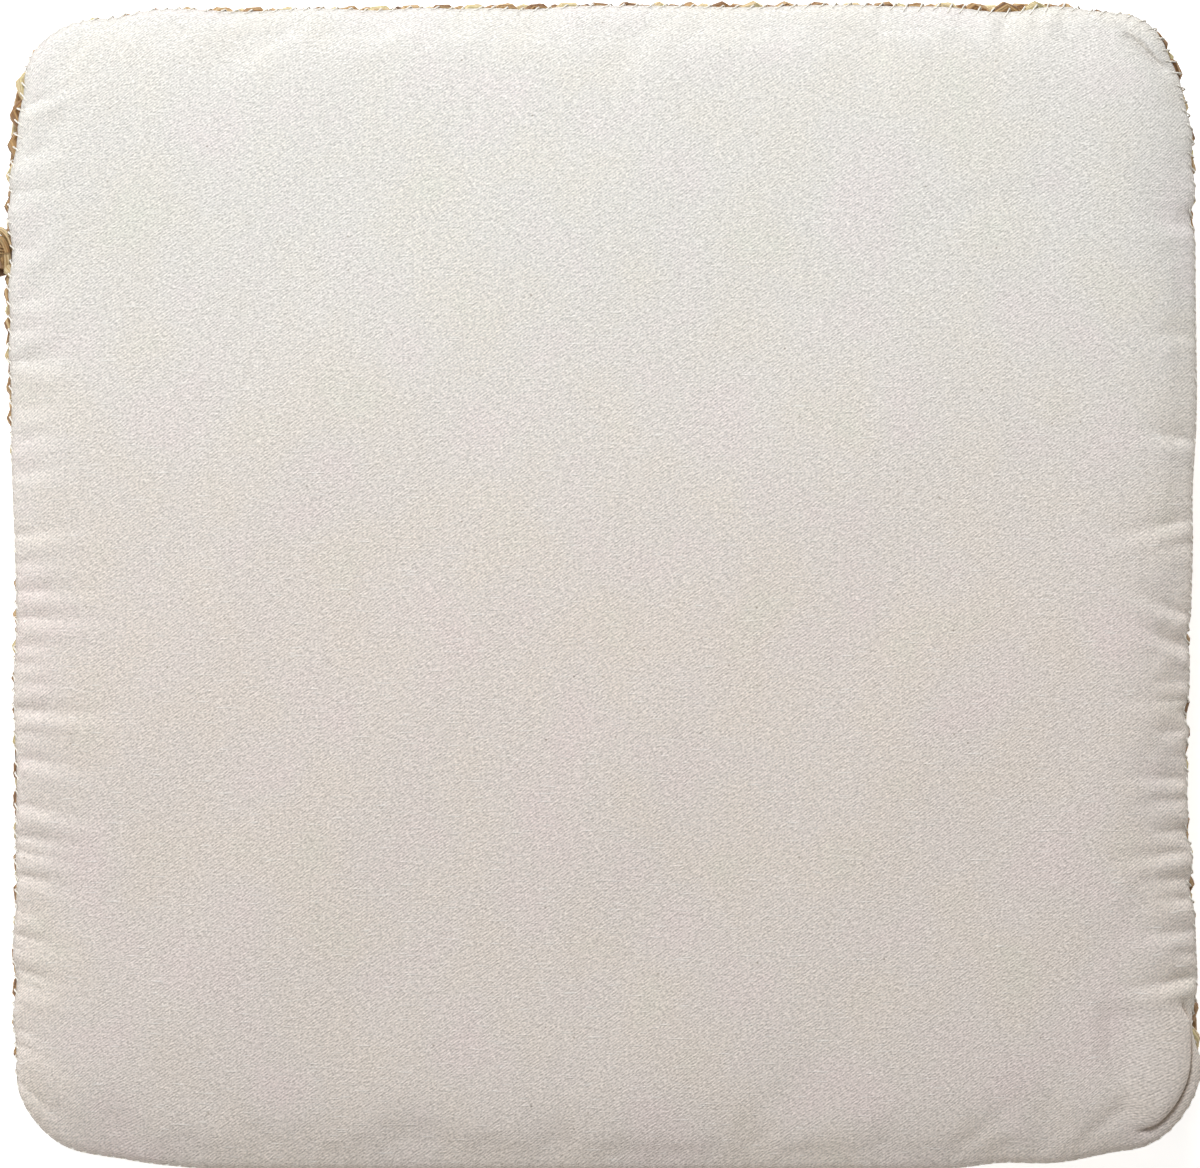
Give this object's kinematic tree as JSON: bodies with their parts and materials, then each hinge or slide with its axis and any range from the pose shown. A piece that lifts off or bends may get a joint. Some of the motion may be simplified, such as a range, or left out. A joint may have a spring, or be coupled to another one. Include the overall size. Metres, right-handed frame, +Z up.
{
  "type": "floor cushion",
  "caption": "Square floor cushion with rounded corners: a padded shell of plaited plant-stalk rounds, closed by a crowned natural cotton panel whip-stitched round its edge.",
  "frame": {"origin": "middle of the braided face, on the floor that the cushion lies on", "axes": "+Z up out of the cotton panel; +X along the longer side; +Y along the shorter side; the bound end of the braid is on the -X side, towards +Y"},
  "size_m": [0.508, 0.49, 0.09],
  "materials": {
    "hyacinth_braid": "matt plaited dried water-hyacinth stalk",
    "cotton_thread": "matt off-white twisted cotton",
    "cotton_twill": "matt unbleached cotton twill",
    "liner_cloth": "matt white nonwoven",
    "foam": "matt open-cell foam",
    "wadding": "matt white fibre wadding"
  },
  "bodies": {
    "root": {"face_braid_01": "hyacinth_braid", "face_braid_02": "hyacinth_braid", "face_braid_03": "hyacinth_braid", "face_braid_04": "hyacinth_braid", "face_braid_05": "hyacinth_braid", "face_braid_06": "hyacinth_braid", "face_braid_07": "hyacinth_braid", "face_braid_08": "hyacinth_braid", "face_braid_09": "hyacinth_braid", "face_braid_10": "hyacinth_braid", "face_braid_middle": "hyacinth_braid", "wall_braid_1": "hyacinth_braid", "wall_braid_2": "hyacinth_braid", "wall_braid_3": "hyacinth_braid", "braid_tail": "hyacinth_braid", "face_lacing_01": "cotton_thread", "face_lacing_02": "cotton_thread", "face_lacing_03": "cotton_thread", "face_lacing_04": "cotton_thread", "face_lacing_05": "cotton_thread", "face_lacing_06": "cotton_thread", "face_lacing_07": "cotton_thread", "face_lacing_08": "cotton_thread", "face_lacing_09": "cotton_thread", "face_lacing_10": "cotton_thread", "wall_lacing_1": "cotton_thread", "wall_lacing_2": "cotton_thread", "wall_lacing_3": "cotton_thread", "edge_whipstitch": "cotton_thread", "tail_binding": "cotton_thread", "liner_closing_thread": "cotton_thread", "cotton_panel": "cotton_twill", "inner_liner": "liner_cloth", "foam_core": "foam", "wadding_layer": "wadding"}
  },
  "joints": []
}
